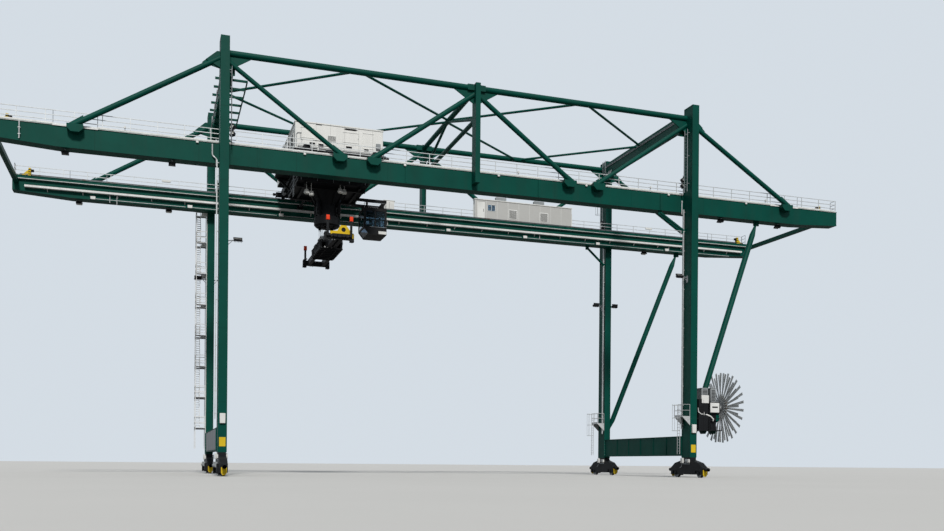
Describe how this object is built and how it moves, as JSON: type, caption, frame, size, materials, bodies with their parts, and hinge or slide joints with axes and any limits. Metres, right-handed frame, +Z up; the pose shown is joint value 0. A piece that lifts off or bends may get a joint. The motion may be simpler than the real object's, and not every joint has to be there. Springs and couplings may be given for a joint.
{
  "type": "rail mounted gantry crane, 1:2 scale model",
  "caption": "Rail mounted container gantry crane with trussed twin girders, cantilevers, slewing trolley, telescopic spreader and cable reel, as a 1:2 scale model.",
  "frame": {"origin": "centre of the footprint, level with the lowest edge of the wheel flanges", "axes": "+X along the girders towards the cable reel, +Y along the rails towards the stair tower's side, +Z up"},
  "size_m": [38.94, 12.3, 17.56],
  "materials": {
    "green_paint": "satin",
    "dark_paint": "satin",
    "white_panels": "satin",
    "galvanised": "dull",
    "wheel_steel": "worn",
    "orange_paint": "satin",
    "window_glass": "clear"
  },
  "bodies": {
    "portal": {"front_left_leg": "green_paint", "rear_left_leg": "green_paint", "front_right_leg": "green_paint", "rear_right_leg": "green_paint", "sill_beams": "green_paint", "bogies": "dark_paint", "front_girder": "green_paint", "rear_girder": "green_paint", "left_head_beam": "green_paint", "right_head_beam": "green_paint", "end_ties": "green_paint", "portal_struts": "green_paint", "front_top_chord": "green_paint", "rear_top_chord": "green_paint", "front_stays": "green_paint", "rear_stays": "green_paint", "mid_frame": "green_paint", "plan_bracing": "green_paint", "front_railing": "galvanised", "rear_railing": "galvanised", "trolley_rails": "wheel_steel", "cable_channel": "galvanised", "stair_tower": "galvanised", "equipment_houses": "white_panels", "reel_stand": "white_panels"},
    "wheel_front_left_a": {"wheel_front_left_a": "wheel_steel"},
    "wheel_front_left_b": {"wheel_front_left_b": "wheel_steel"},
    "wheel_rear_left_a": {"wheel_rear_left_a": "wheel_steel"},
    "wheel_rear_left_b": {"wheel_rear_left_b": "wheel_steel"},
    "wheel_front_right_a": {"wheel_front_right_a": "wheel_steel"},
    "wheel_front_right_b": {"wheel_front_right_b": "wheel_steel"},
    "wheel_rear_right_a": {"wheel_rear_right_a": "wheel_steel"},
    "wheel_rear_right_b": {"wheel_rear_right_b": "wheel_steel"},
    "reel": {"cable_reel": "galvanised"},
    "trolley": {"trolley_frame": "dark_paint", "trolley_house": "white_panels", "operator_cab": "white_panels", "cab_glass": "window_glass"},
    "turntable": {"slewing_frame": "dark_paint", "hoist_ropes": "galvanised"},
    "spreader": {"spreader_frame": "dark_paint"},
    "spreader_end_front": {"spreader_end_front": "dark_paint"},
    "spreader_end_rear": {"spreader_end_rear": "dark_paint"},
    "flippers_front": {"flippers_front": "orange_paint"},
    "flippers_rear": {"flippers_rear": "orange_paint"}
  },
  "joints": [
    {"name": "wheel_front_left_a_turn", "type": "hinge", "parent": "portal", "child": "wheel_front_left_a", "pos_m": [-10.75, -5.45, 0.205], "axis": [1, 0, 0], "continuous": true},
    {"name": "wheel_front_left_b_turn", "type": "hinge", "parent": "portal", "child": "wheel_front_left_b", "pos_m": [-10.75, -3.45, 0.205], "axis": [1, 0, 0], "continuous": true},
    {"name": "wheel_rear_left_a_turn", "type": "hinge", "parent": "portal", "child": "wheel_rear_left_a", "pos_m": [-10.75, 3.45, 0.205], "axis": [1, 0, 0], "continuous": true},
    {"name": "wheel_rear_left_b_turn", "type": "hinge", "parent": "portal", "child": "wheel_rear_left_b", "pos_m": [-10.75, 5.45, 0.205], "axis": [1, 0, 0], "continuous": true},
    {"name": "wheel_front_right_a_turn", "type": "hinge", "parent": "portal", "child": "wheel_front_right_a", "pos_m": [10.75, -5.45, 0.205], "axis": [1, 0, 0], "continuous": true},
    {"name": "wheel_front_right_b_turn", "type": "hinge", "parent": "portal", "child": "wheel_front_right_b", "pos_m": [10.75, -3.45, 0.205], "axis": [1, 0, 0], "continuous": true},
    {"name": "wheel_rear_right_a_turn", "type": "hinge", "parent": "portal", "child": "wheel_rear_right_a", "pos_m": [10.75, 3.45, 0.205], "axis": [1, 0, 0], "continuous": true},
    {"name": "wheel_rear_right_b_turn", "type": "hinge", "parent": "portal", "child": "wheel_rear_right_b", "pos_m": [10.75, 5.45, 0.205], "axis": [1, 0, 0], "continuous": true},
    {"name": "reel_turn", "type": "hinge", "parent": "portal", "child": "reel", "pos_m": [12.48, -4.45, 3.35], "axis": [1, 0, 0], "continuous": true},
    {"name": "trolley_travel", "type": "slide", "parent": "portal", "child": "trolley", "axis": [1, 0, 0], "range_m": [-10.7, 22.3]},
    {"name": "slewing", "type": "hinge", "parent": "trolley", "child": "turntable", "pos_m": [-5.8, 0, 11.75], "axis": [0, 0, 1], "range_deg": [-180, 180]},
    {"name": "hoist", "type": "slide", "parent": "turntable", "child": "spreader", "axis": [0, 0, 1], "range_m": [-8.8, 0], "deforming": ["hoist_ropes"]},
    {"name": "spreader_front_slide", "type": "slide", "parent": "spreader", "child": "spreader_end_front", "axis": [0, -1, 0], "range_m": [-1.515, 0.38]},
    {"name": "spreader_rear_slide", "type": "slide", "parent": "spreader", "child": "spreader_end_rear", "axis": [0, 1, 0], "range_m": [-1.515, 0.38]},
    {"name": "flippers_front_turn", "type": "hinge", "parent": "spreader_end_front", "child": "flippers_front", "pos_m": [-5.8, -3.14625, 10.36], "axis": [1, 0, 0], "range_deg": [0, 170]},
    {"name": "flippers_rear_turn", "type": "hinge", "parent": "spreader_end_rear", "child": "flippers_rear", "pos_m": [-5.8, 3.14625, 10.36], "axis": [-1, 0, 0], "range_deg": [0, 170]}
  ],
  "couplings": [
    {"joint": "spreader_rear_slide", "follows": "spreader_front_slide", "ratio": 1}
  ]
}
